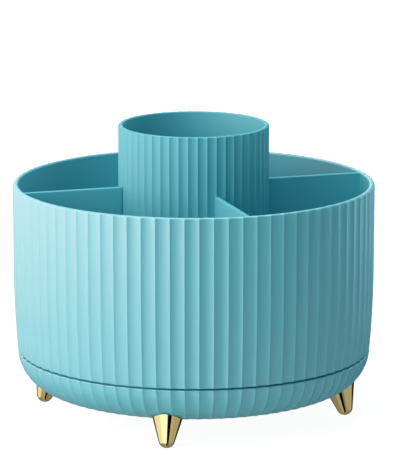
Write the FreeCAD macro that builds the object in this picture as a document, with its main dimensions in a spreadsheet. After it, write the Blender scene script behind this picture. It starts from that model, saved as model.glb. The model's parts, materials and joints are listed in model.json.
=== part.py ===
import FreeCAD, Part
import math
import os
import Sketcher

# Rotating desk organizer: a fluted tub with a centre cup and four dividers, which turns on a
# ball bearing over a low fluted base that stands on four splayed feet. Millimetres, +Z up.
# The origin is on the ground under the turning axis. The dividers lie on the X and Y axes.

doc = FreeCAD.newDocument("RotatingDeskOrganizer")
sheet = doc.addObject("Spreadsheet::Sheet", "Sizes")
rows = {"next": 1}
finished = []


# ---------------------------------------------------------------- sizes and expressions

class Size:
    """A size known both as a number and as the expression that binds a property to it."""

    def __init__(self, number, text):
        self.number = float(number)
        self.text = text

    def __add__(self, other):
        return join(self, "+", other)

    def __radd__(self, other):
        return join(other, "+", self)

    def __sub__(self, other):
        return join(self, "-", other)

    def __rsub__(self, other):
        return join(other, "-", self)

    def __mul__(self, other):
        return join(self, "*", other)

    def __rmul__(self, other):
        return join(other, "*", self)

    def __truediv__(self, other):
        return join(self, "/", other)

    def __rtruediv__(self, other):
        return join(other, "/", self)


def as_size(value):
    """Wrap a plain number, so that it can stand in an expression."""
    return value if isinstance(value, Size) else Size(value, repr(float(value)))


def join(left, sign, right):
    """Combine two sizes with one arithmetic sign."""
    one = as_size(left)
    two = as_size(right)
    results = {"+": one.number + two.number,
               "-": one.number - two.number,
               "*": one.number * two.number}
    number = one.number / two.number if sign == "/" else results[sign]
    return Size(number, "(" + one.text + " " + sign + " " + two.text + ")")


def sine(degrees):
    return Size(math.sin(math.radians(degrees.number)), "sin(" + degrees.text + " * 1 deg)")


def cosine(degrees):
    return Size(math.cos(math.radians(degrees.number)), "cos(" + degrees.text + " * 1 deg)")


def tangent(degrees):
    return sine(degrees) / cosine(degrees)


def root(value):
    return Size(math.sqrt(value.number), "sqrt(" + value.text + ")")


def size(alias, value):
    """Write one driving dimension into the sheet and return it."""
    row = rows["next"]
    rows["next"] = row + 1
    sheet.set("A" + str(row), alias)
    sheet.set("B" + str(row), str(value))
    sheet.setAlias("B" + str(row), alias)
    return Size(value, "Sizes." + alias)


# Tub: the turning wall and floor.
tub_radius = size("tub_radius", 80.0)
rim_height = size("rim_height", 103.2)
tub_wall = size("tub_wall", 2.4)
tub_floor = size("tub_floor", 2.2)
floor_fillet = size("floor_fillet", 2.0)
wall_draft = size("wall_draft", 0.15)
curve_height = size("curve_height", 37.4)
curve_radius = size("curve_radius", 436.0)
flute_count = size("flute_count", 80)
flute_depth = size("flute_depth", 0.5)
floor_drop = size("floor_drop", 1.6)
skirt_length = size("skirt_length", 1.6)
skirt_wall = size("skirt_wall", 2.0)
skirt_clearance = size("skirt_clearance", 0.9)

# Base: the standing saucer under the tub.
base_clearance = size("base_clearance", 11.2)
base_height = size("base_height", 16.6)
base_wall = size("base_wall", 2.4)
corner_lean = size("corner_lean", 4.5)
seam_gap = size("seam_gap", 0.8)

# Centre cup.
cup_radius = size("cup_radius", 33.3)
cup_rim_height = size("cup_rim_height", 129.1)
cup_wall = size("cup_wall", 2.0)
cup_floor = size("cup_floor", 2.0)
cup_flute_count = size("cup_flute_count", 50)
cup_flute_depth = size("cup_flute_depth", 0.45)
cup_screw_circle = size("cup_screw_circle", 20.0)
cup_screw_count = size("cup_screw_count", 3)
cup_boss_radius = size("cup_boss_radius", 3.5)
cup_boss_length = size("cup_boss_length", 4.0)

# Dividers, in grooves of the tub's wall and floor.
divider_count = size("divider_count", 4)
divider_thickness = size("divider_thickness", 2.0)
divider_drop = size("divider_drop", 0.3)
divider_cup_gap = size("divider_cup_gap", 0.15)
groove_depth = size("groove_depth", 0.6)
groove_clearance = size("groove_clearance", 0.1)

# Thrust bearing.
ball_radius = size("ball_radius", 2.5)
ball_circle = size("ball_circle", 40.0)
ball_count = size("ball_count", 12)
ball_play = size("ball_play", 0.02)
cage_width = size("cage_width", 9.0)
cage_thickness = size("cage_thickness", 2.4)
pocket_clearance = size("pocket_clearance", 0.1)
race_thickness = size("race_thickness", 1.6)
race_inside_margin = size("race_inside_margin", 7.0)
race_outside_margin = size("race_outside_margin", 11.0)
track_depth = size("track_depth", 0.4)
track_clearance = size("track_clearance", 0.15)
race_screw_margin = size("race_screw_margin", 8.0)
race_screw_count = size("race_screw_count", 4)
race_seat_height = size("race_seat_height", 2.4)
seat_rib = size("seat_rib", 5.0)

# Pivot: spindle, bush, washer and screw on the turning axis.
spindle_radius = size("spindle_radius", 6.0)
pivot_clearance = size("pivot_clearance", 0.05)
bush_wall = size("bush_wall", 2.0)
bush_length = size("bush_length", 6.0)
bush_flange = size("bush_flange", 2.0)
bush_flange_thickness = size("bush_flange_thickness", 1.5)
hub_wall = size("hub_wall", 2.4)
washer_overlap = size("washer_overlap", 1.5)
washer_thickness = size("washer_thickness", 1.2)
washer_side_clearance = size("washer_side_clearance", 0.9)
axial_play = size("axial_play", 0.2)
pivot_head_height = size("pivot_head_height", 2.0)
pivot_head_radius = size("pivot_head_radius", 4.5)
pivot_screw_length = size("pivot_screw_length", 9.0)
cap_thickness = size("cap_thickness", 1.0)
cap_gap = size("cap_gap", 0.3)

# Screws.
screw_radius = size("screw_radius", 1.5)
screw_clearance = size("screw_clearance", 0.05)
head_radius = size("head_radius", 2.6)
head_height = size("head_height", 1.4)
small_screw_radius = size("small_screw_radius", 1.25)
small_head_radius = size("small_head_radius", 2.2)
small_head_height = size("small_head_height", 1.2)
screw_end_skin = size("screw_end_skin", 1.2)
screw_point_share = size("screw_point_share", 0.4)
head_crown_share = size("head_crown_share", 0.7)
head_side_share = size("head_side_share", 0.5)

# Feet.
foot_seat_offset = size("foot_seat_offset", 5.25)
foot_angle = size("foot_angle", 62.7)
foot_count = size("foot_count", 4)
foot_splay = size("foot_splay", 13.5)
foot_cone_angle = size("foot_cone_angle", 16.5)
foot_tip_radius = size("foot_tip_radius", 3.6)
foot_flat_radius = size("foot_flat_radius", 1.2)
foot_seat_gap = size("foot_seat_gap", 0.03)
peg_radius = size("peg_radius", 2.4)
peg_rise = size("peg_rise", 0.6)
foot_boss_radius = size("foot_boss_radius", 3.6)
foot_boss_height = size("foot_boss_height", 4.0)
foot_screw_length = size("foot_screw_length", 10.0)
doc.recompute()

# Heights, from the ground up.
base_bottom = base_clearance
base_top = base_bottom + base_height
base_floor_top = base_bottom + base_wall
tub_edge = base_top + seam_gap
tub_underside = tub_edge - floor_drop
tub_floor_top = tub_underside + tub_floor
skirt_bottom = tub_underside - skirt_length
curve_start = tub_edge + curve_height
divider_top = rim_height - divider_drop
cup_bottom = tub_floor_top
cup_floor_top = cup_bottom + cup_floor
lower_race_bottom = base_floor_top + race_seat_height
lower_race_top = lower_race_bottom + race_thickness
ball_height = lower_race_top - track_depth + ball_radius + ball_play
upper_race_bottom = ball_height + ball_radius + ball_play - track_depth
upper_race_top = upper_race_bottom + race_thickness
head_bottom = base_bottom + cap_thickness + cap_gap
washer_bottom = head_bottom + pivot_head_height
washer_top = washer_bottom + washer_thickness
hub_ceiling = washer_top + axial_play
hub_step = hub_ceiling + hub_wall
bush_top = hub_ceiling + bush_length
foot_boss_top = base_floor_top + foot_boss_height
peg_top = base_floor_top + peg_rise

# Radii.
curve_start_radius = tub_radius - (rim_height - curve_start) * tangent(wall_draft)
edge_radius = curve_start_radius - curve_height * curve_height / (2 * curve_radius)
inner_rim_radius = tub_radius - tub_wall
inner_curve_radius = curve_start_radius - tub_wall
inner_floor_radius = edge_radius - tub_wall
corner_radius = base_height / (1 - sine(corner_lean))
corner_centre_radius = edge_radius - corner_radius * cosine(corner_lean)
corner_centre_height = base_bottom + corner_radius
base_mouth_radius = edge_radius - base_wall
skirt_radius = base_mouth_radius - skirt_clearance
race_inner = ball_circle - race_inside_margin
race_outer = ball_circle + race_outside_margin
race_screw_circle = ball_circle + race_screw_margin
bush_bore = spindle_radius + pivot_clearance
bush_radius = bush_bore + bush_wall
hub_radius = bush_radius + hub_wall
washer_radius = bush_radius + washer_overlap
cap_radius = washer_radius + washer_side_clearance
hub_foot_radius = cap_radius + hub_wall
foot_tip_height = root(foot_tip_radius * foot_tip_radius - foot_flat_radius * foot_flat_radius)
foot_seat_circle = corner_centre_radius + foot_seat_offset
foot_tip_circle = foot_seat_circle + (base_floor_top - foot_tip_height) * tangent(foot_splay)


# ---------------------------------------------------------------- modelling helpers

def new_body(name, solid=None):
    """An empty body, or one that starts from a solid made outside it."""
    body = doc.addObject("PartDesign::Body", name)
    body.Label = name
    if solid is not None:
        body.BaseFeature = solid
    finished.append(body)
    return body


def origin_plane(body, role):
    for item in body.Origin.OriginFeatures:
        if item.Role == role:
            return item
    raise ValueError("no plane " + role)


def new_sketch(body, name, role, height=None):
    """A sketch on one of the body's own planes, raised to a height where one is given."""
    sketch = body.newObject("Sketcher::SketchObject", name)
    sketch.AttachmentSupport = [(origin_plane(body, role), "")]
    sketch.MapMode = "FlatFace"
    if height is not None:
        sketch.AttachmentOffset = FreeCAD.Placement(FreeCAD.Vector(0, 0, height.number),
                                                    FreeCAD.Rotation())
        sketch.setExpression("AttachmentOffset.Base.z", height.text)
    return sketch


def pin_point(sketch, edge, end, x, y):
    """Hold one end of an edge at bound distances from the sketch's origin."""
    for kind, value, axis in (("DistanceX", as_size(x), -2), ("DistanceY", as_size(y), -1)):
        if value.text == "0.0":
            sketch.addConstraint(Sketcher.Constraint("PointOnObject", edge, end, axis))
        else:
            index = sketch.addConstraint(
                Sketcher.Constraint(kind, -1, 1, edge, end, value.number))
            sketch.setExpression("Constraints[" + str(index) + "]", value.text)


def draw_outline(sketch, points, arcs=None):
    """A closed outline. arcs gives, for the edge that leaves a point, its radius and its side:
    1 bulges to the right of the way the outline runs, -1 to the left."""
    arcs = arcs or {}
    corners = [FreeCAD.Vector(as_size(x).number, as_size(y).number, 0) for x, y in points]
    for index, start in enumerate(corners):
        end = corners[(index + 1) % len(corners)]
        if index in arcs:
            radius, side = arcs[index]
            half = (end - start) * 0.5
            across = FreeCAD.Vector(half.y, -half.x, 0).normalize() * side
            sag = radius.number - math.sqrt(radius.number ** 2 - half.Length ** 2)
            ends = (start, end) if side == 1 else (end, start)
            sketch.addGeometry(Part.Arc(ends[0], start + half + across * sag, ends[1]), False)
        else:
            sketch.addGeometry(Part.LineSegment(start, end), False)
    for index, start in enumerate(corners):
        following = (index + 1) % len(corners)
        last = edge_end(sketch, index, corners[following])
        joint = edge_end(sketch, following, corners[following])
        sketch.addConstraint(Sketcher.Constraint("Coincident", index, last, following, joint))
        first = edge_end(sketch, index, start)
        pin_point(sketch, index, first, points[index][0], points[index][1])
        if index in arcs:
            number = sketch.addConstraint(
                Sketcher.Constraint("Radius", index, arcs[index][0].number))
            sketch.setExpression("Constraints[" + str(number) + "]", arcs[index][0].text)


def edge_end(sketch, edge, point):
    """Which end of an edge lies at a point: 1 for its start, 2 for its end."""
    start = sketch.Geometry[edge].StartPoint
    end = sketch.Geometry[edge].EndPoint
    return 1 if start.distanceToPoint(point) < end.distanceToPoint(point) else 2


def draw_circle(sketch, x, y, radius):
    edge = sketch.addGeometry(
        Part.Circle(FreeCAD.Vector(as_size(x).number, as_size(y).number, 0),
                    FreeCAD.Vector(0, 0, 1), radius.number), False)
    pin_point(sketch, edge, 3, x, y)
    index = sketch.addConstraint(Sketcher.Constraint("Radius", edge, radius.number))
    sketch.setExpression("Constraints[" + str(index) + "]", radius.text)


def draw_half_disc(sketch, x, y, radius):
    """A half disc whose flat side is upright at x, centred at the height y."""
    middle = FreeCAD.Vector(x.number, y.number, 0)
    reach = FreeCAD.Vector(0, radius.number, 0)
    side = FreeCAD.Vector(radius.number, 0, 0)
    sketch.addGeometry(Part.Arc(middle - reach, middle + side, middle + reach), False)
    sketch.addGeometry(Part.LineSegment(middle + reach, middle - reach), False)
    sketch.addConstraint(Sketcher.Constraint("Coincident", 0, 2, 1, 1))
    sketch.addConstraint(Sketcher.Constraint("Coincident", 0, 1, 1, 2))
    pin_point(sketch, 0, 3, x, y)
    index = sketch.addConstraint(Sketcher.Constraint("Radius", 0, radius.number))
    sketch.setExpression("Constraints[" + str(index) + "]", radius.text)
    for end in (1, 2):
        index = sketch.addConstraint(Sketcher.Constraint("DistanceX", -1, 1, 0, end, x.number))
        sketch.setExpression("Constraints[" + str(index) + "]", x.text)


def turn(body, name, points, arcs=None, cut=False):
    """Revolve an outline of radius and height about the vertical axis, as solid or as cut."""
    sketch = new_sketch(body, name + "_outline", "XZ_Plane")
    draw_outline(sketch, points, arcs)
    kind = "PartDesign::Groove" if cut else "PartDesign::Revolution"
    feature = body.newObject(kind, name)
    feature.Profile = sketch
    feature.ReferenceAxis = (sketch, ["V_Axis"])
    feature.Angle = 360


def round_column(body, name, x, y, bottom, top, radius, cut=False):
    """A vertical round boss, or a hole of that shape, between two heights."""
    sketch = new_sketch(body, name + "_outline", "XY_Plane", top)
    draw_circle(sketch, x, y, radius)
    feature = body.newObject("PartDesign::Pocket" if cut else "PartDesign::Pad", name)
    feature.Profile = sketch
    feature.Length = (top - bottom).number
    feature.setExpression("Length", (top - bottom).text)
    feature.Reversed = not cut
    return feature


def repeat(body, name, features, count):
    """Repeat features evenly round the vertical axis."""
    pattern = body.newObject("PartDesign::PolarPattern", name)
    pattern.Originals = features
    pattern.Axis = (origin_plane(body, "Z_Axis"), [""])
    pattern.Angle = 360
    pattern.Occurrences = int(count.number)
    pattern.setExpression("Occurrences", count.text)
    body.Tip = pattern


def scalloped_wire(radius, height, depth, count):
    """A closed ring of hollow flutes: circular arcs that meet in sharp ridges at the radius.
    One flute is centred on the X axis."""
    step = 2 * math.pi / count
    edges = []
    for index in range(count):
        angles = [(index - 0.5) * step, index * step, (index + 0.5) * step]
        radii = [radius, radius - depth, radius]
        ring = [FreeCAD.Vector(r * math.cos(a), r * math.sin(a), height)
                for a, r in zip(angles, radii)]
        edges.append(Part.Arc(ring[0], ring[1], ring[2]).toShape())
    return Part.Wire(edges)


def half_step(count):
    """Half the angle between two of a ring of copies, so that they stand between the axes."""
    return 180 / count


def turn_body(body, angle):
    """Turn a finished body about the vertical axis."""
    body.Placement = FreeCAD.Placement(FreeCAD.Vector(0, 0, 0),
                                       FreeCAD.Rotation(FreeCAD.Vector(0, 0, 1), angle.number))
    body.setExpression("Placement.Rotation.Angle", angle.text + " * 1 deg")


def fluted_solid(name, sections, count):
    """A solid skinned through scalloped rings, each given by radius, height and depth. It is
    set in code, because a pattern of cut flutes this fine takes too long."""
    wires = [scalloped_wire(r, z, depth, int(count.number)) for r, z, depth in sections]
    feature = doc.addObject("Part::Feature", name)
    feature.Shape = Part.makeLoft(wires, True, False)
    return feature


def screws(name, circle, angle, count, seat, radius, head, rise, length, points_down):
    """A ring of pan-head screws. seat is the height under the head, and length the shank's."""
    body = new_body(name)
    way = -1 if points_down else 1
    sketch = new_sketch(body, name + "_outline", "XZ_Plane")
    draw_outline(sketch, [(circle, seat + way * length),
                          (circle + radius * screw_point_share, seat + way * length),
                          (circle + radius, seat + way * (length - radius)),
                          (circle + radius, seat),
                          (circle + head, seat),
                          (circle + head, seat - way * rise * head_side_share),
                          (circle + head * head_crown_share, seat - way * rise),
                          (circle, seat - way * rise)])
    feature = body.newObject("PartDesign::Revolution", name + "_screw")
    feature.Profile = sketch
    feature.ReferenceAxis = (sketch, ["Edge8"])
    feature.Angle = 360
    repeat(body, name + "_ring", [feature], count)
    turn_body(body, angle)


# ---------------------------------------------------------------- turning part

def wall_radius(height):
    """Outer radius of the tub's wall: a slight draft, then a long curve inwards at the foot."""
    if height >= curve_start.number:
        return tub_radius.number - (rim_height.number - height) * tangent(wall_draft).number
    drop = curve_start.number - height
    return curve_start_radius.number - drop * drop / (2 * curve_radius.number)


def make_tub():
    steps = 4
    heights = [tub_edge.number + curve_height.number * i / steps for i in range(steps + 1)]
    heights += [(curve_start.number + rim_height.number) / 2, rim_height.number]
    outside = fluted_solid("tub_outside",
                           [(wall_radius(z), z, flute_depth.number) for z in heights],
                           flute_count)
    body = new_body("tub", outside)
    above = rim_height + tub_wall
    turn(body, "tub_inside",
         [(0, tub_floor_top), (inner_floor_radius - floor_fillet, tub_floor_top),
          (inner_floor_radius, tub_floor_top + floor_fillet),
          (inner_curve_radius, curve_start), (inner_rim_radius, rim_height),
          (inner_rim_radius, above), (0, above)],
         {1: (floor_fillet, 1)}, cut=True)
    turn(body, "tub_underside",
         [(0, tub_edge), (skirt_radius, tub_edge), (skirt_radius, skirt_bottom),
          (skirt_radius - skirt_wall, skirt_bottom), (skirt_radius - skirt_wall, tub_underside),
          (race_outer, tub_underside), (race_outer, upper_race_top),
          (race_outer - seat_rib, upper_race_top), (race_outer - seat_rib, tub_underside),
          (race_inner + seat_rib / 2, tub_underside), (race_inner + seat_rib / 2, upper_race_top),
          (race_inner, upper_race_top), (race_inner, tub_underside),
          (spindle_radius, tub_underside), (spindle_radius, washer_top), (0, washer_top)])
    boss = round_column(body, "cup_boss", cup_screw_circle, 0,
                        tub_underside - cup_boss_length, tub_underside, cup_boss_radius)
    repeat(body, "cup_bosses", [boss], cup_screw_count)
    hole = round_column(body, "cup_hole", cup_screw_circle, 0,
                        tub_underside - cup_boss_length, tub_floor_top,
                        screw_radius + screw_clearance, cut=True)
    repeat(body, "cup_holes", [hole], cup_screw_count)
    round_column(body, "pivot_hole", 0, 0, washer_top, washer_top + pivot_screw_length,
                 screw_radius + screw_clearance, cut=True)
    angle = half_step(race_screw_count)
    hole = round_column(body, "race_hole", race_screw_circle * cosine(angle),
                        race_screw_circle * sine(angle), upper_race_top,
                        tub_floor_top - screw_end_skin,
                        small_screw_radius + screw_clearance, cut=True)
    repeat(body, "race_holes", [hole], race_screw_count)
    groove = new_sketch(body, "divider_groove_outline", "XZ_Plane")
    draw_outline(groove, [(cup_radius, tub_floor_top - groove_depth),
                          (inner_floor_radius + groove_depth, tub_floor_top - groove_depth),
                          (inner_curve_radius + groove_depth, curve_start),
                          (inner_rim_radius + groove_depth, rim_height),
                          (cup_radius, rim_height)])
    pocket = body.newObject("PartDesign::Pocket", "divider_groove")
    pocket.Profile = groove
    pocket.Midplane = True
    pocket.Length = (divider_thickness + 2 * groove_clearance).number
    pocket.setExpression("Length", (divider_thickness + 2 * groove_clearance).text)
    repeat(body, "divider_grooves", [pocket], divider_count)


def make_cup():
    outside = fluted_solid("cup_outside",
                           [(cup_radius.number, cup_bottom.number, cup_flute_depth.number),
                            (cup_radius.number, cup_rim_height.number, cup_flute_depth.number)],
                           cup_flute_count)
    body = new_body("centre_cup", outside)
    inner = cup_radius - cup_wall
    above = cup_rim_height + cup_wall
    turn(body, "cup_inside",
         [(0, cup_floor_top), (inner - floor_fillet, cup_floor_top),
          (inner, cup_floor_top + floor_fillet), (inner, above), (0, above)],
         {1: (floor_fillet, 1)}, cut=True)
    hole = round_column(body, "cup_floor_hole", cup_screw_circle, 0, cup_bottom, cup_floor_top,
                        screw_radius + screw_clearance, cut=True)
    repeat(body, "cup_floor_holes", [hole], cup_screw_count)


def make_dividers():
    bottom = tub_floor_top - groove_depth + groove_clearance
    reach = groove_depth - groove_clearance
    for number in range(int(divider_count.number)):
        body = new_body("divider_" + str(number + 1))
        sketch = new_sketch(body, "divider_outline_" + str(number + 1), "XZ_Plane")
        draw_outline(sketch, [(cup_radius + divider_cup_gap, bottom),
                              (inner_floor_radius + reach, bottom),
                              (inner_curve_radius + reach, curve_start),
                              (inner_rim_radius + reach, divider_top),
                              (cup_radius + divider_cup_gap, divider_top)])
        panel = body.newObject("PartDesign::Pad", "divider_panel_" + str(number + 1))
        panel.Profile = sketch
        panel.Midplane = True
        panel.Length = divider_thickness.number
        panel.setExpression("Length", divider_thickness.text)
        turn_body(body, 360 * number / divider_count)


# ---------------------------------------------------------------- bearing

def make_race(name, bottom, track_up):
    """A flat steel ring with a shallow ball track, fixed by screws outside the track."""
    body = new_body(name)
    top = bottom + race_thickness
    face = top if track_up else bottom
    way = 1 if track_up else -1
    track_radius = ball_radius + track_clearance
    half_track = root(2 * track_radius * track_depth - track_depth * track_depth)
    other = bottom if track_up else top
    turn(body, name + "_ring",
         [(race_inner, face), (ball_circle - half_track, face), (ball_circle + half_track, face),
          (race_outer, face), (race_outer, other), (race_inner, other)],
         {1: (track_radius, way)})
    angle = half_step(race_screw_count)
    hole = round_column(body, name + "_hole", race_screw_circle * cosine(angle),
                        race_screw_circle * sine(angle), bottom, top,
                        small_screw_radius + screw_clearance, cut=True)
    repeat(body, name + "_holes", [hole], race_screw_count)


def make_cage_and_balls():
    cage = new_body("ball_cage")
    low = ball_height - cage_thickness / 2
    high = ball_height + cage_thickness / 2
    inner = ball_circle - cage_width / 2
    outer = ball_circle + cage_width / 2
    turn(cage, "cage_ring", [(inner, low), (outer, low), (outer, high), (inner, high)])
    pocket = round_column(cage, "ball_pocket", ball_circle, 0, low, high,
                          ball_radius + pocket_clearance, cut=True)
    repeat(cage, "ball_pockets", [pocket], ball_count)

    balls = new_body("bearing_balls")
    sketch = new_sketch(balls, "ball_outline", "XZ_Plane")
    draw_half_disc(sketch, ball_circle, ball_height, ball_radius)
    ball = balls.newObject("PartDesign::Revolution", "ball")
    ball.Profile = sketch
    ball.ReferenceAxis = (sketch, ["Edge2"])
    ball.Angle = 360
    repeat(balls, "ball_ring", [ball], ball_count)


# ---------------------------------------------------------------- standing part

def make_base():
    lean = corner_lean.number
    steps = 7
    sections = []
    for index in range(steps):
        angle = math.radians(lean + (90 - lean) * index / steps)
        depth = flute_depth.number * math.sqrt(1 - index / steps)
        sections.append((corner_centre_radius.number + corner_radius.number * math.cos(angle),
                         corner_centre_height.number - corner_radius.number * math.sin(angle),
                         depth))
    sections.append((corner_centre_radius.number, base_bottom.number, 0.0))
    outside = fluted_solid("base_outside", sections, flute_count)
    body = new_body("base_shell", outside)
    inner_corner = corner_radius - base_wall
    inner_side = corner_centre_radius + inner_corner
    above = corner_centre_height + base_wall
    turn(body, "base_inside",
         [(0, bush_top), (hub_radius, bush_top), (hub_radius, hub_step),
          (hub_foot_radius, hub_step), (hub_foot_radius, base_floor_top),
          (race_inner, base_floor_top), (race_inner, lower_race_bottom),
          (race_inner + seat_rib / 2, lower_race_bottom),
          (race_inner + seat_rib / 2, base_floor_top),
          (race_outer - seat_rib, base_floor_top), (race_outer - seat_rib, lower_race_bottom),
          (race_outer, lower_race_bottom), (race_outer, base_floor_top),
          (corner_centre_radius, base_floor_top), (inner_side, corner_centre_height),
          (inner_side, above), (0, above)],
         {13: (inner_corner, 1)}, cut=True)
    turn(body, "hub_bore",
         [(0, base_bottom), (cap_radius, base_bottom), (cap_radius, hub_ceiling),
          (bush_radius, hub_ceiling), (bush_radius, bush_top), (0, bush_top)], cut=True)
    seat_x = foot_seat_circle * cosine(foot_angle)
    seat_y = foot_seat_circle * sine(foot_angle)
    boss = round_column(body, "foot_boss", seat_x, seat_y, base_floor_top, foot_boss_top,
                        foot_boss_radius)
    repeat(body, "foot_bosses", [boss], foot_count)
    socket = round_column(body, "foot_socket", seat_x, seat_y, base_bottom,
                          peg_top + screw_clearance, peg_radius + screw_clearance, cut=True)
    repeat(body, "foot_sockets", [socket], foot_count)
    hole = round_column(body, "foot_screw_hole", seat_x, seat_y, peg_top, foot_boss_top,
                        screw_radius + screw_clearance, cut=True)
    repeat(body, "foot_screw_holes", [hole], foot_count)
    angle = half_step(race_screw_count)
    hole = round_column(body, "race_screw_hole", race_screw_circle * cosine(angle),
                        race_screw_circle * sine(angle), base_bottom + screw_end_skin,
                        lower_race_bottom, small_screw_radius + screw_clearance, cut=True)
    repeat(body, "race_screw_holes", [hole], race_screw_count)


def make_feet():
    """Turned cones with a ball tip. Each leans outwards at its tip, and its top is hollowed
    to sit on the rounded corner of the base, with a peg that goes up through the shell."""
    lean = foot_cone_angle - foot_splay
    length = (corner_centre_height - foot_tip_height + foot_tip_radius * sine(lean)) \
        / cosine(lean)
    side_x = foot_tip_circle + foot_tip_radius * cosine(lean)
    side_y = foot_tip_height - foot_tip_radius * sine(lean)
    rise = length * cosine(foot_cone_angle) - foot_tip_radius * sine(foot_cone_angle)
    seat_radius = corner_radius + foot_seat_gap
    seat_side = corner_centre_radius + seat_radius
    seat_bottom = base_bottom - foot_seat_gap
    above = corner_centre_height + base_wall
    beyond = foot_tip_circle + 2 * foot_tip_radius
    for number in range(int(foot_count.number)):
        tag = "_" + str(number + 1)
        body = new_body("foot" + tag)
        sketch = new_sketch(body, "cone_outline" + tag, "XZ_Plane")
        draw_outline(sketch,
                     [(foot_tip_circle + foot_tip_radius * sine(foot_splay),
                       foot_tip_height - foot_tip_radius * cosine(foot_splay)),
                      (side_x, side_y),
                      (side_x + length * sine(lean), side_y + length * cosine(lean)),
                      (foot_tip_circle - rise * sine(foot_splay),
                       foot_tip_height + rise * cosine(foot_splay))],
                     {0: (foot_tip_radius, 1)})
        cone = body.newObject("PartDesign::Revolution", "cone" + tag)
        cone.Profile = sketch
        cone.ReferenceAxis = (sketch, ["Edge4"])
        cone.Angle = 360
        turn(body, "seat" + tag,
             [(0, seat_bottom), (corner_centre_radius, seat_bottom),
              (seat_side, corner_centre_height), (seat_side, above), (0, above)],
             {1: (seat_radius, 1)}, cut=True)
        turn(body, "flat" + tag,
             [(0, -1 * foot_tip_radius), (beyond, -1 * foot_tip_radius), (beyond, 0), (0, 0)],
             cut=True)
        round_column(body, "peg" + tag, foot_seat_circle, 0, base_bottom - peg_radius, peg_top,
                     peg_radius)
        round_column(body, "screw_hole" + tag, foot_seat_circle, 0,
                     foot_boss_top - foot_screw_length - screw_clearance, peg_top,
                     screw_radius + screw_clearance, cut=True)
        turn_body(body, foot_angle + 360 * number / foot_count)


# ---------------------------------------------------------------- pivot and fasteners

def make_pivot():
    bush = new_body("pivot_bush")
    flange_radius = bush_radius + bush_flange
    flange_top = bush_top + bush_flange_thickness
    turn(bush, "bush_profile",
         [(bush_bore, hub_ceiling), (bush_radius, hub_ceiling), (bush_radius, bush_top),
          (flange_radius, bush_top), (flange_radius, flange_top), (bush_bore, flange_top)])
    washer = new_body("pivot_washer")
    washer_bore = screw_radius + screw_clearance
    turn(washer, "washer_profile",
         [(washer_bore, washer_bottom), (washer_radius, washer_bottom),
          (washer_radius, washer_top), (washer_bore, washer_top)])
    cap = new_body("pivot_cap")
    turn(cap, "cap_profile",
         [(0, base_bottom), (cap_radius, base_bottom), (cap_radius, base_bottom + cap_thickness),
          (0, base_bottom + cap_thickness)])
    screw = new_body("pivot_screw")
    tip = washer_bottom + washer_thickness + pivot_screw_length - screw_clearance
    turn(screw, "pivot_screw_profile",
         [(0, head_bottom), (pivot_head_radius * head_crown_share, head_bottom),
          (pivot_head_radius, washer_bottom - pivot_head_height * head_side_share),
          (pivot_head_radius, washer_bottom), (screw_radius, washer_bottom),
          (screw_radius, tip - screw_radius), (screw_radius * screw_point_share, tip),
          (0, tip)])


def make_screws():
    cup_length = cup_floor_top - tub_underside + cup_boss_length - screw_clearance
    screws("cup_screws", cup_screw_circle, as_size(0), cup_screw_count, cup_floor_top,
           screw_radius, head_radius, head_height, cup_length, True)
    screws("foot_screws", foot_seat_circle, foot_angle, foot_count, foot_boss_top,
           screw_radius, head_radius, head_height, foot_screw_length, True)
    race_angle = half_step(race_screw_count)
    screws("lower_race_screws", race_screw_circle, race_angle, race_screw_count, lower_race_top,
           small_screw_radius, small_head_radius, small_head_height,
           lower_race_top - base_bottom - screw_end_skin - screw_clearance, True)
    screws("upper_race_screws", race_screw_circle, race_angle, race_screw_count,
           upper_race_bottom, small_screw_radius, small_head_radius, small_head_height,
           tub_floor_top - screw_end_skin - screw_clearance - upper_race_bottom, False)


# ---------------------------------------------------------------- build, check and write

def check_document():
    """Stop at an object that failed to build or a body with no valid solid."""
    for item in doc.Objects:
        if "Invalid" in item.State or "Error" in item.State:
            raise RuntimeError(item.Name + " failed: " + ", ".join(item.State))
    for body in finished:
        if body.Shape.isNull() or not body.Shape.isValid() or not body.Shape.Solids:
            raise RuntimeError(body.Label + " has no valid solid")


def write_parts():
    os.makedirs("parts", exist_ok=True)
    for body in finished:
        shape = body.Shape
        shape.exportStep("parts/" + body.Label + ".step")
        print(body.Label, len(shape.Solids), "solid(s),", round(shape.Volume, 1), "mm3")


make_base()
make_feet()
make_race("lower_race", lower_race_bottom, True)
make_race("upper_race", upper_race_bottom, False)
make_cage_and_balls()
make_pivot()
make_tub()
make_cup()
make_dividers()
make_screws()
doc.recompute()
check_document()
write_parts()
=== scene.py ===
import bpy
import json
import math
import numpy as np
from mathutils import Matrix, Vector


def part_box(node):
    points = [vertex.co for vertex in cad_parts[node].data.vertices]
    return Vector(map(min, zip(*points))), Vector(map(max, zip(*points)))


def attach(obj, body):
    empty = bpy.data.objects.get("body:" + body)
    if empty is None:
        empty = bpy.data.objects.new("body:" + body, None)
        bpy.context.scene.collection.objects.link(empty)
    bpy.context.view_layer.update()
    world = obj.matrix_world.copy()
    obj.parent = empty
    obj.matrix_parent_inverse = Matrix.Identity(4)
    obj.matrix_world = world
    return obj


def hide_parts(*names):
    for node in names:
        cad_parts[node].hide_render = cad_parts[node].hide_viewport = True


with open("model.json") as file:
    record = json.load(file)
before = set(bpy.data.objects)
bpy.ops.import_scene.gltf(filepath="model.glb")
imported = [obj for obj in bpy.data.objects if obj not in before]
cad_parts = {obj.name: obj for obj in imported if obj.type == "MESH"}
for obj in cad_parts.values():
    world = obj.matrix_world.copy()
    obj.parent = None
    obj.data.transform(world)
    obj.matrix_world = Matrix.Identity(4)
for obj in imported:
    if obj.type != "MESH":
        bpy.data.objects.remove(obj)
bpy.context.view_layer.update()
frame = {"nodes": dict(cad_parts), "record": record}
mm = 0.001
scene = bpy.context.scene
scene.view_settings.view_transform = "Standard"
print("frame loaded:", len(frame["nodes"]), "nodes")


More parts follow.
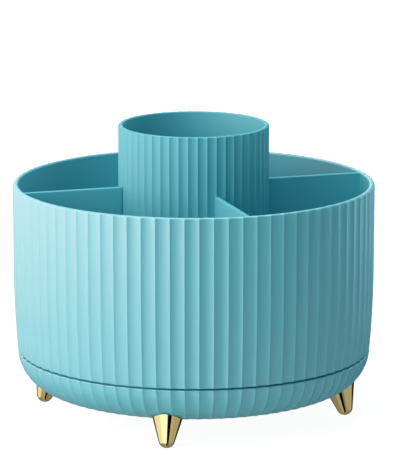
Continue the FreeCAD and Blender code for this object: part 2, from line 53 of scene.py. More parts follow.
def nodeSize(node):
    # outer radius, lowest and highest level of a round node, in millimetres
    low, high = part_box(node)
    return high.x / mm, low.z / mm, high.z / mm


# angles in degrees, lengths in millimetres, and the clipping distances in metres
view = {"azimuth": -17.56, "elevation": 11.94, "distance": 1635.4, "lens": 290.6, "sensor": 36,
        "targetHeight": 82.05, "sideways": 2.8, "clip": (0.05, 20)}


def towards(azimuth, elevation):
    # a unit step away from the axis: sin a cos e across, -cos a cos e along and sin e up, with
    # the azimuth counted from the camera's own side to its right
    a = math.radians(view["azimuth"] + azimuth)
    e = math.radians(elevation)
    return Vector((math.sin(a) * math.cos(e), -math.cos(a) * math.cos(e), math.sin(e)))


def makeCamera():
    # looks down across the turning axis, moved sideways so that the axis stands left of centre
    back = towards(0, view["elevation"])
    a = math.radians(view["azimuth"])
    right = Vector((math.cos(a), math.sin(a), 0))
    up = back.cross(right)
    data = bpy.data.cameras.new("camera")
    data.lens = view["lens"]
    data.sensor_width = view["sensor"]
    data.clip_start, data.clip_end = view["clip"]
    camera = bpy.data.objects.new("camera", data)
    target = Vector((0, 0, view["targetHeight"]))
    place = target + back * view["distance"] + right * view["sideways"]
    turn = Matrix((right, up, back)).transposed().to_4x4()
    camera.matrix_world = Matrix.Translation(place * mm) @ turn
    scene.collection.objects.link(camera)
    scene.camera = camera


makeCamera()
print("camera placed")


class Wire:
    # one output socket; arithmetic on it adds Math nodes to its material
    def __init__(self, tree, socket):
        self.tree = tree
        self.socket = socket

    def __add__(self, other):
        return self.tree.maths("ADD", self, other)

    def __radd__(self, other):
        return self.tree.maths("ADD", other, self)

    def __sub__(self, other):
        return self.tree.maths("SUBTRACT", self, other)

    def __rsub__(self, other):
        return self.tree.maths("SUBTRACT", other, self)

    def __mul__(self, other):
        return self.tree.maths("MULTIPLY", self, other)

    def __rmul__(self, other):
        return self.tree.maths("MULTIPLY", other, self)


class Tree:
    # the nodes of a new material, or of the world
    def __init__(self, owner):
        if isinstance(owner, str):
            owner = bpy.data.materials.new(owner)
        owner.use_nodes = True
        self.owner = owner
        self.nodes = owner.node_tree.nodes
        self.links = owner.node_tree.links
        self.nodes.clear()
        self.place = self.add("ShaderNodeTexCoord", output="Object")

    def add(self, kind, inputs=None, output=0, stops=None, **settings):
        # any node, from its settings, its ramp's stops and the values or links of its sockets
        node = self.nodes.new(kind)
        for key, value in settings.items():
            setattr(node, key, value)
        if stops:
            ramp = node.color_ramp
            while len(ramp.elements) < len(stops):
                ramp.elements.new(0.5)
            for element, (position, colour) in zip(ramp.elements, stops):
                element.position = position
                element.color = colour
        for key, value in (inputs or {}).items():
            if isinstance(value, Wire):
                self.links.new(value.socket, node.inputs[key])
            else:
                node.inputs[key].default_value = value
        return Wire(self, node.outputs[output]) if node.outputs else None

    def maths(self, operation, first, second):
        return self.add("ShaderNodeMath", {0: first, 1: second}, operation=operation)

    def vector(self, operation, first, second=(0, 0, 0)):
        return self.add("ShaderNodeVectorMath", {0: first, 1: second}, operation=operation,
                        output="Value")

    def output(self, wire, name):
        # another output of the node that a wire comes from
        return Wire(self, wire.socket.node.outputs[name])

    def noise(self, size, detail=2.0, roughness=0.5, stretch=(1, 1, 1)):
        # soft noise whose blobs are about size millimetres across
        spot = self.add("ShaderNodeMapping", {"Vector": self.place, "Scale": stretch})
        return self.add("ShaderNodeTexNoise", {"Vector": spot, "Scale": 1 / (size * mm),
                                               "Detail": detail, "Roughness": roughness})

    def vary(self, value, pattern, spread):
        # a value that a pattern of 0 to 1 moves up and down by half the spread
        return value + (pattern - 0.5) * spread

    def step(self, value, ends, low=0.0, high=1.0):
        # an eased change from low to high while the value goes from one end to the other
        return self.add("ShaderNodeMapRange",
                        {"Value": value, "From Min": ends[0], "From Max": ends[1],
                         "To Min": low, "To Max": high}, interpolation_type="SMOOTHSTEP")

    def blend(self, factor, first, second):
        return self.add("ShaderNodeMix", {"Factor": factor, 6: first, 7: second}, output=2,
                        data_type="RGBA")

    def bump(self, height, strength, distance, below=None):
        # relief as deep as distance, in millimetres, over the relief below it
        inputs = {"Height": height, "Strength": strength, "Distance": distance * mm}
        if below is not None:
            inputs["Normal"] = below
        return self.add("ShaderNodeBump", inputs, output="Normal")

    def surface(self, shader, kind="ShaderNodeOutputMaterial"):
        self.add(kind, {"Surface": shader})
        return self.owner


def rgba(red, green, blue):
    return (red, green, blue, 1.0)


def grey(value):
    return rgba(value, value, value)


# patterns have a size in millimetres; a bump is its strength and its depth in millimetres
plastic = {"colour": (0.040, 0.462, 0.575), "paler": (0.048, 0.487, 0.600), "roughness": 0.5,
           "roughnessSpread": 0.08, "grain": {"size": 0.35, "detail": 2, "roughness": 0.6},
           "cloud": {"size": 14, "detail": 3},
           "sink": {"size": 26, "detail": 1, "stretch": (1, 1, 0.4)},
           "grainBump": (0.5, 0.006), "sinkBump": (0.35, 0.05), "specular": 1.0, "coat": 1.0,
           "innerCoat": 0.25, "coatRoughness": 0.56, "coatIor": 1.9, "innerRadius": 77.7,
           "innerFloor": 29.0, "innerMatt": 0.25}


def makePlastic():
    # moulded plastic: a fine spark-eroded grain, faint sink marks and a slightly uneven gloss
    tree = Tree("turquoisePlastic")
    grain = tree.noise(**plastic["grain"])
    cloud = tree.noise(**plastic["cloud"])
    sink = tree.noise(**plastic["sink"])
    colour = tree.blend(cloud, rgba(*plastic["colour"]), rgba(*plastic["paler"]))
    # the satin coat lies on the outside: it thins on the cup and on all that the wall holds
    flat = tree.add("ShaderNodeMapping", {"Vector": tree.place, "Scale": (1, 1, 0)})
    radius = tree.vector("LENGTH", flat) * (1 / mm)
    height = tree.add("ShaderNodeSeparateXYZ", {"Vector": tree.place}, output="Z") * (1 / mm)
    within = tree.maths("LESS_THAN", radius, plastic["innerRadius"])
    inside = within * tree.maths("GREATER_THAN", height, plastic["innerFloor"])
    satin = plastic["coat"] + inside * (plastic["innerCoat"] - plastic["coat"])
    gloss = plastic["roughness"] + inside * plastic["innerMatt"]
    gloss = tree.vary(gloss, cloud, plastic["roughnessSpread"])
    gloss = tree.vary(gloss, grain, plastic["roughnessSpread"])
    normal = tree.bump(sink, *plastic["sinkBump"])
    normal = tree.bump(grain, *plastic["grainBump"], below=normal)
    shader = tree.add("ShaderNodeBsdfPrincipled",
                      {"Base Color": colour, "Roughness": gloss, "Normal": normal,
                       "Specular IOR Level": plastic["specular"],
                       "Coat Weight": satin,
                       "Coat Roughness": plastic["coatRoughness"],
                       "Coat IOR": plastic["coatIor"]})
    return tree.surface(shader)


gold = {"colour": (0.88, 0.72, 0.33), "deeper": (0.80, 0.62, 0.24), "roughness": 0.08,
        "roughnessSpread": 0.06, "cloud": {"size": 4, "detail": 3},
        "rings": {"size": 0.5, "detail": 2, "stretch": (0.15, 0.15, 2.0)},
        "bump": (0.15, 0.004)}


def makeGold():
    # polished plating over a turned cone: faint lathe rings under a clear shine
    tree = Tree("goldPlating")
    cloud = tree.noise(**gold["cloud"])
    rings = tree.noise(**gold["rings"])
    shade = tree.blend(cloud, rgba(*gold["colour"]), rgba(*gold["deeper"]))
    shader = tree.add("ShaderNodeBsdfPrincipled",
                      {"Base Color": shade, "Metallic": 1.0,
                       "Roughness": tree.vary(gold["roughness"], cloud, gold["roughnessSpread"]),
                       "Normal": tree.bump(rings, *gold["bump"])})
    return tree.surface(shader)


# each kind of steel has its colour and its roughness
steel = {"race": ((0.56, 0.57, 0.58), 0.30), "ball": ((0.74, 0.75, 0.77), 0.08),
         "screw": ((0.50, 0.51, 0.54), 0.26), "darker": 0.8, "roughnessSpread": 0.1,
         "cloud": {"size": 3, "detail": 3},
         "brush": {"size": 0.3, "detail": 2, "stretch": (1, 1, 0.2)}, "bump": (0.2, 0.004)}


def makeSteel(kind):
    # zinc-plated or polished steel with a fine brushed grain, drawn out upwards
    colour, roughness = steel[kind]
    tree = Tree(kind + "Steel")
    cloud = tree.noise(**steel["cloud"])
    brush = tree.noise(**steel["brush"])
    darker = tuple(steel["darker"] * part for part in colour)
    shader = tree.add("ShaderNodeBsdfPrincipled",
                      {"Base Color": tree.blend(cloud, rgba(*colour), rgba(*darker)),
                       "Metallic": 1.0,
                       "Roughness": tree.vary(roughness, brush, steel["roughnessSpread"]),
                       "Normal": tree.bump(brush, *steel["bump"])})
    return tree.surface(shader)


nylon = {"colour": (0.78, 0.77, 0.72), "deeper": (0.70, 0.69, 0.63), "roughness": 0.45,
         "roughnessSpread": 0.1, "cloud": {"size": 5, "detail": 3},
         "grain": {"size": 0.3, "detail": 2}, "bump": (0.2, 0.006)}


def makeNylon():
    # natural white bearing plastic
    tree = Tree("whiteNylon")
    cloud = tree.noise(**nylon["cloud"])
    grain = tree.noise(**nylon["grain"])
    shade = tree.blend(cloud, rgba(*nylon["colour"]), rgba(*nylon["deeper"]))
    shader = tree.add("ShaderNodeBsdfPrincipled",
                      {"Base Color": shade,
                       "Roughness": tree.vary(nylon["roughness"], grain, nylon["roughnessSpread"]),
                       "Normal": tree.bump(grain, *nylon["bump"])})
    return tree.surface(shader)


finishes = {"turquoise_plastic": makePlastic(), "gold_metal": makeGold(),
            "race_steel": makeSteel("race"), "ball_steel": makeSteel("ball"),
            "screw_steel": makeSteel("screw"), "white_nylon": makeNylon()}
for part in frame["record"]["subparts"]:
    node = frame["nodes"][part["node"]]
    node.data.materials.clear()
    node.data.materials.append(finishes[part["material_slot"]])
print("materials made:", len(finishes))


creaseAngle = 40  # degrees between two faces, past which their edge is sharp


def skin(name, grid, body, slot, nodes, firstPole=None, lastPole=None, ring=False):
    # a closed mesh over a grid of rows and columns: the columns close round the axis, and the
    # rows run from pole to pole, or close into a ring. Faces point outwards where, seen from
    # outside, the columns run to the right as the rows run up.
    rows, columns = grid.shape[:2]
    points = grid.reshape(-1, 3)
    index = np.arange(rows * columns).reshape(rows, columns)
    across = np.roll(index, -1, axis=1)
    low, lowNext = (index, across) if ring else (index[:-1], across[:-1])
    high, highNext = [np.roll(side, -1, axis=0) if ring else side[1:] for side in (index, across)]
    faces = np.stack([low, lowNext, highNext, high], axis=-1).reshape(-1, 4).tolist()
    for pole, one, other in ((firstPole, across[0], index[0]), (lastPole, index[-1], across[-1])):
        if pole is not None:
            faces += np.stack([np.full(columns, len(points)), one, other], axis=-1).tolist()
            points = np.vstack([points, pole])
    mesh = bpy.data.meshes.new(name)
    mesh.from_pydata((points * mm).tolist(), [], faces)
    mesh.polygons.foreach_set("use_smooth", np.ones(len(mesh.polygons), bool))
    mesh.set_sharp_from_angle(angle=math.radians(creaseAngle))
    mesh.update()
    piece = bpy.data.objects.new(name, mesh)
    scene.collection.objects.link(piece)
    mesh.materials.append(finishes[slot])
    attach(piece, body)
    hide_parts(*nodes)


def bend(x, y, radius, start, end, steps):
    # points on an arc from one angle to another, in degrees: x + r cos a and y + r sin a
    angles = np.radians(np.linspace(start, end, steps + 1))
    return np.stack([x + radius * np.cos(angles), y + radius * np.sin(angles)], axis=-1)


def turnedAbout(angle):
    # the matrix that turns rows of points about the upright axis, by an angle in radians
    c, s = math.cos(angle), math.sin(angle)
    return np.array([(c, s, 0), (-s, c, 0), (0, 0, 1)])


# shares of a flute's width and depth, and where the columns of half a flute stand
flute = {"ridge": 0.02, "lip": 0.22, "lipWidth": 0.05,
         "half": (0.0, 0.02, 0.04, 0.07, 0.11, 0.18, 0.27, 0.38)}


def fluteColumns(count):
    # the angles of the columns round the axis, and how deep each lies in its flute, from 0 on
    # the ridge to 1 in the middle: 4 s (1 - s) at the distance s from the ridge, softened there,
    # and a steep lip beside the ridge, 1 - exp(-s / width)
    half = np.array(flute["half"])
    parts = np.concatenate([half, [0.5], 1 - half[:0:-1]])
    near = np.sqrt(np.minimum(parts, 1 - parts) ** 2 + flute["ridge"] ** 2)
    depth = 4 * near * (1 - near) + flute["lip"] * (1 - np.exp(-near / flute["lipWidth"]))
    depth = (depth - depth.min()) / (depth.max() - depth.min())
    angles = ((np.arange(count)[:, None] - 0.5 + parts) * 2 * np.pi / count).ravel()
    return angles, np.tile(depth, count)


def turned(profile, weights, leans, count, depth):
    # carries a profile of radius and height round the axis, and sinks the flutes into it along
    # the lean: a unit vector of radius and height for each point of the profile
    angles, sunk = fluteColumns(count)
    drop = depth * weights[:, None] * sunk[None, :]
    radius = profile[:, 0][:, None] - drop * leans[:, 0][:, None]
    height = profile[:, 1][:, None] - drop * leans[:, 1][:, None]
    return np.stack([radius * np.cos(angles), radius * np.sin(angles), height], axis=-1)


def straightOut(count):
    # leans that point straight away from the axis
    return np.tile([1.0, 0.0], (count, 1))


bearing = {"raceWidth": 18.0, "bushFlange": 2.0, "flangeThickness": 1.5}
tub = {"wall": 2.4, "floor": 2.2, "flutes": 80, "fluteDepth": 0.61, "draft": 0.15,
       "curveHeight": 37.4, "curveRadius": 436.0, "rimRound": 0.88, "edgeRound": 0.35,
       "fillet": 2.0, "skirtRadius": 75.0, "skirtWall": 2.0, "floorDrop": 1.6,
       "skirtLength": 1.6, "spindle": 6.0, "spindleChamfer": 0.4, "seatRib": 5.0,
       "seamGap": 0.8, "edgeSteps": 3, "wallSteps": 8, "rimSteps": 5, "filletSteps": 6}
tubRidge = nodeSize("tub")[0] / math.cos(math.pi / tub["flutes"])  # no ridge lies on the X axis
rimHeight = nodeSize("tub")[2]
baseTop = nodeSize("base_shell")[2]
tubEdge = baseTop + tub["seamGap"]
curveStart = tubEdge + tub["curveHeight"]
tubFloorTop = tubEdge - tub["floorDrop"] + tub["floor"]


def wallRadius(height):
    # the wall's outer radius: a slight draft, and below the curve's start a parabola inwards,
    # the square of the drop over twice the curve's radius
    drop = np.maximum(curveStart - height, 0)
    rise = rimHeight - np.maximum(height, curveStart)
    draft = rise * math.tan(math.radians(tub["draft"]))
    return tubRidge - draft - drop ** 2 / (2 * tub["curveRadius"])


def makeTub():
    # one closed outline, turned: from the spindle's end out over the race's seat and the skirt,
    # up the fluted wall, over the rim and down the inside to the middle of the floor
    raceOuter, _, raceTop = nodeSize("upper_race")
    raceInner = raceOuter - bearing["raceWidth"]
    under = tubEdge - tub["floorDrop"]
    skirtLow = under - tub["skirtLength"]
    skirtIn = tub["skirtRadius"] - tub["skirtWall"]
    spindleLow = nodeSize("pivot_washer")[2]
    rib, chamfer = tub["seatRib"], tub["spindleChamfer"]
    below = np.array([
        (tub["spindle"] - chamfer, spindleLow), (tub["spindle"], spindleLow + chamfer),
        (tub["spindle"], under), (raceInner, under), (raceInner, raceTop),
        (raceInner + rib / 2, raceTop), (raceInner + rib / 2, under), (raceOuter - rib, under),
        (raceOuter - rib, raceTop), (raceOuter, raceTop), (raceOuter, under), (skirtIn, under),
        (skirtIn, skirtLow), (tub["skirtRadius"], skirtLow), (tub["skirtRadius"], tubEdge)])
    edge, rim, fillet = tub["edgeRound"], tub["rimRound"], tub["fillet"]
    bottomRadius = float(wallRadius(tubEdge + edge))
    lowEdge = bend(bottomRadius - edge, tubEdge + edge, edge, -90, 0, tub["edgeSteps"])
    heights = np.linspace(tubEdge + edge, curveStart, tub["wallSteps"] + 1)[1:]
    wall = np.stack([wallRadius(heights), heights], axis=-1)
    rimOut = bend(tubRidge - rim, rimHeight - rim, rim, 0, 90, tub["rimSteps"])
    innerRim = tubRidge - tub["wall"]
    rimIn = bend(innerRim + rim, rimHeight - rim, rim, 90, 180, tub["rimSteps"])
    innerCurve = float(wallRadius(curveStart)) - tub["wall"]
    innerFloor = float(wallRadius(tubEdge)) - tub["wall"]
    corner = bend(innerFloor - fillet, tubFloorTop + fillet, fillet, 0, -90, tub["filletSteps"])
    inside = np.vstack([[(innerCurve, curveStart)], corner, [(tub["spindle"], tubFloorTop)]])
    profile = np.vstack([below, lowEdge, wall, rimOut, rimIn, inside])
    fluted = len(lowEdge) + len(wall) + len(rimOut)
    weights = np.concatenate([np.zeros(len(below)), np.ones(fluted),
                              np.zeros(len(rimIn) + len(inside))])
    grid = turned(profile, weights, straightOut(len(profile)), tub["flutes"], tub["fluteDepth"])
    skin("tubShell", grid, "tub", "turquoise_plastic", ["tub"],
         firstPole=(0, 0, spindleLow), lastPole=(0, 0, tubFloorTop))


makeTub()
print("tub made")


cup = {"wall": 2.0, "floor": 2.0, "flutes": 50, "fluteDepth": 0.53, "rimRound": 0.5,
       "edgeRound": 0.3, "fillet": 2.0, "edgeSteps": 2, "rimSteps": 5, "filletSteps": 6}


def makeCup():
    # one closed outline, turned: from the middle of the bottom up the fluted outside, over the
    # rim and down the inside to the middle of the floor
    _, low, high = nodeSize("centre_cup")
    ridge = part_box("centre_cup")[1].y / mm  # a ridge lies on the Y axis
    inner = ridge - cup["wall"]
    floorTop = low + cup["floor"]
    rim, fillet, edge = cup["rimRound"], cup["fillet"], cup["edgeRound"]
    outside = np.vstack([bend(ridge - edge, low + edge, edge, -90, 0, cup["edgeSteps"]),
                         bend(ridge - rim, high - rim, rim, 0, 90, cup["rimSteps"])])
    inside = np.vstack([bend(inner + rim, high - rim, rim, 90, 180, cup["rimSteps"]),
                        bend(inner - fillet, floorTop + fillet, fillet, 0, -90,
                             cup["filletSteps"]),
                        [(fillet, floorTop)]])
    profile = np.vstack([outside, inside])
    weights = np.concatenate([np.ones(len(outside)), np.zeros(len(inside))])
    grid = turned(profile, weights, straightOut(len(profile)), cup["flutes"], cup["fluteDepth"])
    skin("cupShell", grid, "tub", "turquoise_plastic", ["centre_cup"],
         firstPole=(0, 0, low), lastPole=(0, 0, floorTop))


makeCup()
print("cup made")


# the corner's arc stops cornerEnd degrees before the lip, and the lip stands back by lipSet
base = {"wall": 2.4, "lean": 4.5, "edgeRound": 0.35, "hubWall": 2.4, "seatRib": 5.0,
        "fadeStart": 55.0, "cornerEnd": 1.2, "lipSet": 0.02, "cornerSteps": 18,
        "edgeSteps": 4, "innerSteps": 10}
baseLow = nodeSize("base_shell")[1]
edgeRadius = float(wallRadius(tubEdge))
cornerRadius = (baseTop - baseLow) / (1 - math.sin(math.radians(base["lean"])))
cornerX = edgeRadius - cornerRadius * math.cos(math.radians(base["lean"]))
cornerY = baseLow + cornerRadius


def makeBase():
    # one outline that closes into a ring, turned: up the fluted corner, over the lip, down the
    # inside, over the race's seat and the hub, and back under the hub. The flutes sink towards
    # the corner's centre and fade out under the base, with a smooth step of the corner's angle
    # times the square of the radius.
    raceOuter, raceLow, _ = nodeSize("lower_race")
    raceInner = raceOuter - bearing["raceWidth"]
    capRadius = nodeSize("pivot_cap")[0]
    bushOuter, ceiling, flangeTop = nodeSize("pivot_bush")
    bushRadius = bushOuter - bearing["bushFlange"]
    bushTop = flangeTop - bearing["flangeThickness"]
    hubRadius, hubFoot = bushRadius + base["hubWall"], capRadius + base["hubWall"]
    hubStep = ceiling + base["hubWall"]
    floorTop = baseLow + base["wall"]
    rib, edge = base["seatRib"], base["edgeRound"]
    angles = np.linspace(-90, -base["lean"] - base["cornerEnd"], base["cornerSteps"] + 1)
    corner = bend(cornerX, cornerY, cornerRadius, angles[0], angles[-1], base["cornerSteps"])
    cornerLeans = np.stack([np.cos(np.radians(angles)), np.sin(np.radians(angles))], axis=-1)
    fade = np.clip((angles + 90) / (90 - base["fadeStart"]), 0, 1)
    cornerWeights = fade * fade * (3 - 2 * fade) * (corner[:, 0] / edgeRadius) ** 2
    lip = bend(edgeRadius - edge - base["lipSet"], baseTop - edge, edge, 0, 90,
               base["edgeSteps"])
    inner = cornerRadius - base["wall"]
    innerStart = -math.degrees(math.asin((cornerY - baseTop) / inner))
    inside = np.vstack([
        bend(cornerX, cornerY, inner, innerStart, -90, base["innerSteps"]),
        [(raceOuter, floorTop), (raceOuter, raceLow), (raceOuter - rib, raceLow),
         (raceOuter - rib, floorTop), (raceInner + rib / 2, floorTop),
         (raceInner + rib / 2, raceLow), (raceInner, raceLow), (raceInner, floorTop),
         (hubFoot, floorTop), (hubFoot, hubStep), (hubRadius, hubStep), (hubRadius, bushTop),
         (bushRadius, bushTop), (bushRadius, ceiling), (capRadius, ceiling),
         (capRadius, baseLow)]])
    profile = np.vstack([corner, lip, inside])
    weights = np.concatenate([cornerWeights, np.ones(len(lip)), np.zeros(len(inside))])
    leans = np.vstack([cornerLeans, straightOut(len(lip) + len(inside))])
    grid = turned(profile, weights, leans, tub["flutes"], tub["fluteDepth"])
    skin("baseShell", grid, "base", "turquoise_plastic", ["base_shell"], ring=True)


makeBase()
print("base made")


quarters = 4  # dividers, and feet: one of each in every quarter turn
divider = {"round": 0.5, "roundSteps": 4, "intoWall": 0.3, "lengthSteps": 5}


def makeDivider(number, turn):
    # a flat panel: an upright outline with a rounded top is carried in equal steps from the cup
    # to the wall, whose inner side sets how far each height reaches
    low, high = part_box("divider_1")
    half, bottom, top = high.y / mm, low.z / mm, high.z / mm
    near = low.x / mm
    r = divider["round"]
    side = np.array([(half, bottom), (half, curveStart), (half, top - r)])
    crown = np.vstack([bend(half - r, top - r, r, 0, 90, divider["roundSteps"])[1:],
                       bend(r - half, top - r, r, 90, 180, divider["roundSteps"])])
    loop = np.vstack([side, crown, [(-half, curveStart), (-half, bottom)]])
    heights = loop[:, 1]
    steps = [tubFloorTop, curveStart, rimHeight]
    walls = [float(wallRadius(tubEdge)), float(wallRadius(curveStart)), tubRidge]
    reach = np.interp(heights, steps, walls) - tub["wall"] + divider["intoWall"]
    share = np.linspace(0, 1, divider["lengthSteps"] + 1)[:, None]
    x = near + share * (reach[None, :] - near)
    y = np.broadcast_to(loop[:, 0], x.shape)
    z = np.broadcast_to(heights, x.shape)
    middle = (bottom + top) / 2
    spin = turnedAbout(turn)
    skin("dividerPanel" + str(number), np.stack([x, y, z], axis=-1) @ spin, "tub",
         "turquoise_plastic", ["divider_" + str(number)],
         firstPole=np.array((near, 0, middle)) @ spin,
         lastPole=np.array((x[-1].mean(), 0, middle)) @ spin)


for number in range(quarters):
    makeDivider(number + 1, number * 2 * math.pi / quarters)
print("dividers made")


# cone, splay and angle in degrees; poleGap, between the pole and the first circle, in radians
foot = {"tip": 3.6, "flat": 1.2, "cone": 16.5, "splay": 13.5, "seatOffset": 5.25,
        "angle": 62.7, "seatGap": 0.02, "columns": 96, "poleGap": 0.12, "longest": 30.0,
        "halvings": 40, "tipRows": 16, "coneRows": 12, "topRows": 6, "topInner": 0.1}


def envelope(x, y, z):
    # signed distance from the base's outer surface: a flat bottom with a round corner
    out = np.maximum(np.hypot(x, y) - cornerX, 0)
    return np.hypot(out, z - cornerY) - cornerRadius


def makeFoot(number):
    # a splayed cone with a ball tip: circles round its own leaning axis, from the ground up
    cone, splay = math.radians(foot["cone"]), math.radians(foot["splay"])
    tipHeight = math.sqrt(foot["tip"] ** 2 - foot["flat"] ** 2)
    seat = cornerX + foot["seatOffset"]
    tipX = seat + (baseLow + base["wall"] - tipHeight) * math.tan(splay)
    axis = np.array([-math.sin(splay), 0, math.cos(splay)])
    side = np.array([math.cos(splay), 0, math.sin(splay)])
    cross = np.array([0.0, 1.0, 0.0])
    around = np.linspace(0, 2 * np.pi, foot["columns"], endpoint=False)
    out = np.cos(around)[:, None] * side + np.sin(around)[:, None] * cross
    centre = np.array([tipX, 0, tipHeight])
    # the ball tip: circles of latitude from the pole up to where the cone touches the ball
    lat = np.linspace(-np.pi / 2 + foot["poleGap"], -cone, foot["tipRows"])[:, None, None]
    ball = centre + foot["tip"] * (np.cos(lat) * out + np.sin(lat) * axis)
    # the cone: each straight line runs up until it meets the base, found by halving
    start = ball[-1]
    slope = math.cos(cone) * axis + math.sin(cone) * out
    low, high = np.zeros(len(around)), np.full(len(around), foot["longest"])
    for _ in range(foot["halvings"]):
        mid = (low + high) / 2
        p = start + slope * mid[:, None]
        outside = envelope(p[:, 0], p[:, 1], p[:, 2]) > foot["seatGap"]
        low, high = np.where(outside, mid, low), np.where(outside, high, mid)
    share = np.linspace(0, 1, foot["coneRows"] + 1)[1:, None, None]
    sides = start + slope * low[:, None] * share
    # the hollow top: rings drawn in from the edge along the base's own surface
    edge = sides[-1]
    middle = edge.mean(axis=0)
    shrink = np.linspace(1, foot["topInner"], foot["topRows"] + 1)[1:, None, None]
    top = middle + (edge - middle) * shrink
    reach = np.maximum(np.hypot(top[..., 0], top[..., 1]) - cornerX, 0)
    ballRadius = cornerRadius + foot["seatGap"]
    top[..., 2] = cornerY - np.sqrt(ballRadius ** 2 - reach ** 2)
    grid = np.vstack([ball, sides, top])
    grid[..., 2] = np.maximum(grid[..., 2], 0)  # the flat that stands on the ground
    pole = centre - foot["tip"] * axis
    pole[2] = 0.0
    cap = np.array([middle[0], 0, top[-1, :, 2].mean()])
    spin = turnedAbout(math.radians(foot["angle"]) + number * 2 * math.pi / quarters)
    skin("footCone" + str(number + 1), grid @ spin, "base", "gold_metal",
         ["foot_" + str(number + 1)], firstPole=pole @ spin, lastPole=cap @ spin)


for number in range(quarters):
    makeFoot(number)
print("feet made")


# each lamp: name, azimuth from the camera's side to its right and elevation in degrees,
# distance, width and height in metres, power in watts, and colour. The world's fill turns to
# the colour above between the two heights of a unit ray that fillReach gives.
light = {"lamps": [("keyLight", -52, 22, 1.2, 0.9, 1.0, 12.3, (1.0, 0.76, 0.70)),
                   ("sideLight", -98, 12, 1.2, 1.2, 1.0, 11.6, (1.0, 0.42, 0.34)),
                   ("frontLight", -10, 12, 1.2, 0.5, 1.0, 1.5, (0.85, 1.0, 0.95)),
                   ("rightLight", 60, 12, 1.2, 0.5, 1.0, 0.9, (0.30, 0.88, 1.0)),
                   ("rimLight", 130, 12, 1.2, 0.5, 1.0, 4.0, (0.50, 0.87, 1.0)),
                   ("topLight", -20, 89, 1.2, 0.6, 0.6, 8.4, (0.9, 1.0, 1.0))],
         "aimHeight": 0.06, "fill": (0.07, 0.09, 0.09), "above": (0.04, 0.05, 0.05),
         "fillReach": (0.3, 0.6)}
# what mirror rays meet: rings of azimuths, counted as for the lamps, and their brightness, at
# the level of the walls, of the floor and under it, and a plain top. The splits are the
# heights of a unit ray between which one gives way to the next.
mirror = {"walls": [(-180, 1.6), (-140, 1.4), (-110, 1.0), (-60, 0.85), (-15, 0.08), (100, 0.03),
                    (160, 0.1), (174, 1.6), (180, 1.6)],
          "floor": [(-180, 0.02), (-135, 0.05), (-115, 1.1), (-62, 1.1), (-36, 2.3), (-16, 2.3),
                    (-3, 1.3), (1, 0.0), (27, 0.0), (31, 0.6), (70, 0.45), (85, 0.5),
                    (112, 0.5), (120, 0.02), (180, 0.02)],
          "under": [(-180, 0.4), (-140, 0.3), (-60, 0.3), (-40, 0.5), (-14, 0.5), (-10, 0.0),
                    (14, 0.0), (24, 0.3), (100, 0.3), (180, 0.2)],
          "split": (-0.30, -0.20), "underSplit": (-0.64, -0.50),
          "top": 0.9, "topSplit": (0.65, 0.85)}
# half the floor's width in metres, its two tints, and the shadow: how much of the floor's own
# white is left at the object, and the distances in metres between which all of it comes back
ground = {"half": 6.0, "fleck": {"size": 60, "detail": 2}, "tints": (0.80, 0.82), "white": 1.2,
          "shadowShare": 0.78, "shadowReach": (0.08, 0.20)}


def makeLamp(name, azimuth, elevation, distance, width, height, power, colour):
    # a soft rectangle that faces a point on the turning axis
    data = bpy.data.lights.new(name, "AREA")
    data.shape = "RECTANGLE"
    data.size = width
    data.size_y = height
    data.energy = power
    data.color = colour
    lamp = bpy.data.objects.new(name, data)
    aim = Vector((0, 0, light["aimHeight"]))
    place = aim + towards(azimuth, elevation) * distance
    facing = (place - aim).to_track_quat("Z", "Y").to_matrix().to_4x4()
    lamp.matrix_world = Matrix.Translation(place) @ facing
    scene.collection.objects.link(lamp)


def mirrorRing(tree, azimuth, ring):
    # brightness round the horizon, from a list of azimuths in degrees
    stops = [((angle + 180) / 360, grey(value)) for angle, value in mirror[ring]]
    return tree.add("ShaderNodeValToRGB", {"Fac": azimuth}, stops=stops)


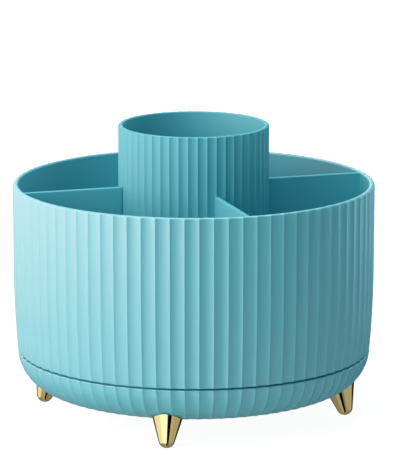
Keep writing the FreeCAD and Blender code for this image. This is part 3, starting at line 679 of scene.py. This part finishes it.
def makeWorld():
    # white to the camera, a plain cool fill to the surfaces, and to mirror rays the rings and
    # the top of the mirror dictionary, chosen by the ray's azimuth and its height
    world = bpy.data.worlds.new("studio")
    scene.world = world
    tree = Tree(world)
    world.cycles.sampling_method = "NONE"
    way = tree.output(tree.place, "Generated")
    a = math.radians(view["azimuth"])
    across = tree.vector("DOT_PRODUCT", way, (math.cos(a), math.sin(a), 0))
    forward = tree.vector("DOT_PRODUCT", way, (math.sin(a), -math.cos(a), 0))
    turn = tree.maths("ARCTAN2", across, forward)
    azimuth = turn * (0.5 / math.pi) + 0.5
    height = tree.add("ShaderNodeSeparateXYZ", {"Vector": way}, output="Z")
    shine = tree.blend(tree.step(height, mirror["underSplit"]),
                       mirrorRing(tree, azimuth, "under"), mirrorRing(tree, azimuth, "floor"))
    shine = tree.blend(tree.step(height, mirror["split"]), shine,
                       mirrorRing(tree, azimuth, "walls"))
    shine = tree.blend(tree.step(height, mirror["topSplit"]), shine, grey(mirror["top"]))
    soft = tree.blend(tree.step(height, light["fillReach"]), rgba(*light["fill"]),
                      rgba(*light["above"]))
    path = tree.add("ShaderNodeLightPath", output="Is Glossy Ray")
    dim = tree.blend(path, soft, shine)
    seen = tree.output(path, "Is Camera Ray") + tree.output(path, "Is Transmission Ray")
    back = tree.add("ShaderNodeBackground", {"Color": tree.blend(seen, dim, grey(1.0))})
    tree.surface(back, "ShaderNodeOutputWorld")


def makeFloor():
    # a pale floor, white to the camera but for the object's soft shadow; mirror rays pass it
    tree = Tree("paleFloor")
    first, second = ground["tints"]
    tint = tree.blend(tree.noise(**ground["fleck"]), grey(first), grey(second))
    plain = tree.add("ShaderNodeBsdfDiffuse", {"Color": tint})
    glow = tree.add("ShaderNodeEmission", {"Color": grey(1.0), "Strength": ground["white"]})
    path = tree.add("ShaderNodeLightPath", output="Is Camera Ray")
    away = tree.vector("LENGTH", tree.place)
    fade = tree.step(away, ground["shadowReach"], low=ground["shadowShare"])
    both = tree.add("ShaderNodeMixShader", {0: path * fade, 1: plain, 2: glow})
    mesh = bpy.data.meshes.new("floor")
    half = ground["half"]
    mesh.from_pydata([(-half, -half, 0), (half, -half, 0), (half, half, 0), (-half, half, 0)],
                     [], [(0, 1, 2, 3)])
    mesh.materials.append(tree.surface(both))
    floor = bpy.data.objects.new("floor", mesh)
    scene.collection.objects.link(floor)
    floor.visible_glossy = False


for lamp in light["lamps"]:
    makeLamp(*lamp)
makeWorld()
makeFloor()
print("stage made")
